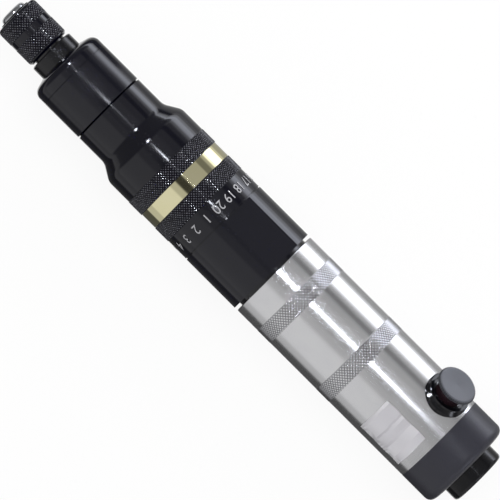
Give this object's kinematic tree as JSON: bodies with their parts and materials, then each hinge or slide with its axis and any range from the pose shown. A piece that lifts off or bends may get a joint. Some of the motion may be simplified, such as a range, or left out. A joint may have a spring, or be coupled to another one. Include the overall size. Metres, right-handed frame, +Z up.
{
  "type": "inline air screwdriver",
  "caption": "Inline pneumatic screwdriver with quick-change hex chuck, adjustable ball clutch, planetary gearing, hollow vane motor, push start and reverse button.",
  "frame": {"origin": "centre of the bit socket's mouth, at the front face of the spindle", "axes": "+X along the tool from the nose to the air inlet; +Z is up, the side seen in the picture; +Y is the side that the reverse button leans to"},
  "size_m": [0.2301, 0.0408, 0.04],
  "materials": {
    "black_anodised": "black anodised, satin",
    "polished_brass": "polished brass",
    "turned_aluminium": "turned, polished and clear anodised",
    "hardened_steel": "ground",
    "blackened_steel": "black oxide",
    "cast_iron_grey": "ground faces",
    "bronze": "sintered",
    "spring_steel": "drawn wire",
    "rubber_seal": "smooth",
    "moulded_black": "moulded, matte",
    "felt": "pressed felt",
    "vane_resin": "phenolic laminate",
    "gloss_black": "glossy",
    "button_grey": "dark grey, satin",
    "stem_brown": "reddish brown, moulded",
    "valve_aluminium": "machined"
  },
  "bodies": {
    "housing": {"front_cap": "black_anodised", "spindle_bush": "bronze", "clutch_sleeve": "black_anodised", "clutch_housing": "black_anodised", "cam_bearing": "hardened_steel", "gear_case": "black_anodised", "carrier_bearing": "hardened_steel", "ring_gear": "hardened_steel", "motor_housing": "black_anodised", "front_end_plate": "cast_iron_grey", "rotor_bearing_front": "hardened_steel", "motor_liner": "cast_iron_grey", "rear_end_plate": "cast_iron_grey", "rotor_bearing_rear": "hardened_steel", "locating_pin": "hardened_steel", "handle": "turned_aluminium", "valve_block": "valve_aluminium", "block_seal": "rubber_seal", "throttle_seat": "bronze", "throttle_spring": "spring_steel", "button_collar": "gloss_black", "reverse_spring": "spring_steel", "rear_cap": "moulded_black", "muffler": "felt", "inlet_bushing": "gloss_black", "inlet_screen": "bronze"},
    "push": {"push_rod": "hardened_steel", "throttle_poppet": "vane_resin"},
    "spindle": {"spindle": "hardened_steel", "spindle_collar": "blackened_steel", "spindle_retaining_ring": "blackened_steel", "bit_balls": "hardened_steel", "sleeve_retaining_ring": "blackened_steel", "sleeve_washer": "blackened_steel", "sleeve_spring": "spring_steel"},
    "chuck_sleeve": {"chuck_sleeve": "black_anodised"},
    "drive": {"planet_carrier": "hardened_steel", "planet_pins": "hardened_steel", "clutch_driver": "blackened_steel", "clutch_cam": "hardened_steel", "clutch_balls": "hardened_steel", "spring_seat": "blackened_steel", "clutch_spring": "spring_steel"},
    "nut_washer": {"nut_washer": "blackened_steel"},
    "adjust_nut": {"adjust_nut": "blackened_steel"},
    "planet_1": {"planet_gear_1": "hardened_steel"},
    "planet_2": {"planet_gear_2": "hardened_steel"},
    "planet_3": {"planet_gear_3": "hardened_steel"},
    "rotor": {"rotor": "hardened_steel", "vanes": "vane_resin"},
    "adjust_ring": {"adjust_ring": "polished_brass"},
    "reverse_button": {"button_head": "button_grey", "button_stem": "stem_brown", "button_seal": "rubber_seal"}
  },
  "joints": [
    {"name": "push_slide", "type": "slide", "parent": "housing", "child": "push", "axis": [1, 0, 0], "range_m": [0, 0.0016], "stiffness_N_per_m": 2000, "springref_m": -0.002, "deforming": ["throttle_spring"]},
    {"name": "spindle_spin", "type": "hinge", "parent": "push", "child": "spindle", "pos_m": [0.03, 0, 0], "axis": [1, 0, 0], "continuous": true},
    {"name": "sleeve_slide", "type": "slide", "parent": "spindle", "child": "chuck_sleeve", "axis": [-1, 0, 0], "range_m": [0, 0.0028], "stiffness_N_per_m": 1500, "springref_m": -0.003, "deforming": ["sleeve_spring"]},
    {"name": "carrier_spin", "type": "hinge", "parent": "housing", "child": "drive", "pos_m": [0.09, 0, 0], "axis": [1, 0, 0], "continuous": true},
    {"name": "rotor_spin", "type": "hinge", "parent": "housing", "child": "rotor", "pos_m": [0.13, 0, 0], "axis": [1, 0, 0], "continuous": true},
    {"name": "nut_turn", "type": "hinge", "parent": "nut_washer", "child": "adjust_nut", "pos_m": [0.08556, 0, 0], "axis": [1, 0, 0], "range_deg": [0, 720]},
    {"name": "washer_slide", "type": "slide", "parent": "drive", "child": "nut_washer", "axis": [-1, 0, 0], "range_m": [0, 0.002], "deforming": ["clutch_spring"]},
    {"name": "ring_turn", "type": "hinge", "parent": "housing", "child": "adjust_ring", "pos_m": [0.08564, 0, 0], "axis": [1, 0, 0], "continuous": true},
    {"name": "reverse_press", "type": "slide", "parent": "housing", "child": "reverse_button", "axis": [0, -0.7314, -0.682], "range_m": [0, 0.0025], "stiffness_N_per_m": 1000, "springref_m": -0.002, "deforming": ["reverse_spring"]},
    {"name": "planet_1_spin", "type": "hinge", "parent": "drive", "child": "planet_1", "pos_m": [0.102, 0, -0.0075], "axis": [1, 0, 0], "continuous": true},
    {"name": "planet_2_spin", "type": "hinge", "parent": "drive", "child": "planet_2", "pos_m": [0.102, 0.0065, 0.00375], "axis": [1, 0, 0], "continuous": true},
    {"name": "planet_3_spin", "type": "hinge", "parent": "drive", "child": "planet_3", "pos_m": [0.102, -0.0065, 0.00375], "axis": [1, 0, 0], "continuous": true}
  ],
  "couplings": [
    {"joint": "spindle_spin", "follows": "carrier_spin", "ratio": 1},
    {"joint": "rotor_spin", "follows": "carrier_spin", "ratio": 5},
    {"joint": "nut_turn", "follows": "washer_slide", "rad_per_m": 6283.2},
    {"joint": "planet_1_spin", "follows": "carrier_spin", "ratio": -2.6667},
    {"joint": "planet_2_spin", "follows": "carrier_spin", "ratio": -2.6667},
    {"joint": "planet_3_spin", "follows": "carrier_spin", "ratio": -2.6667}
  ]
}
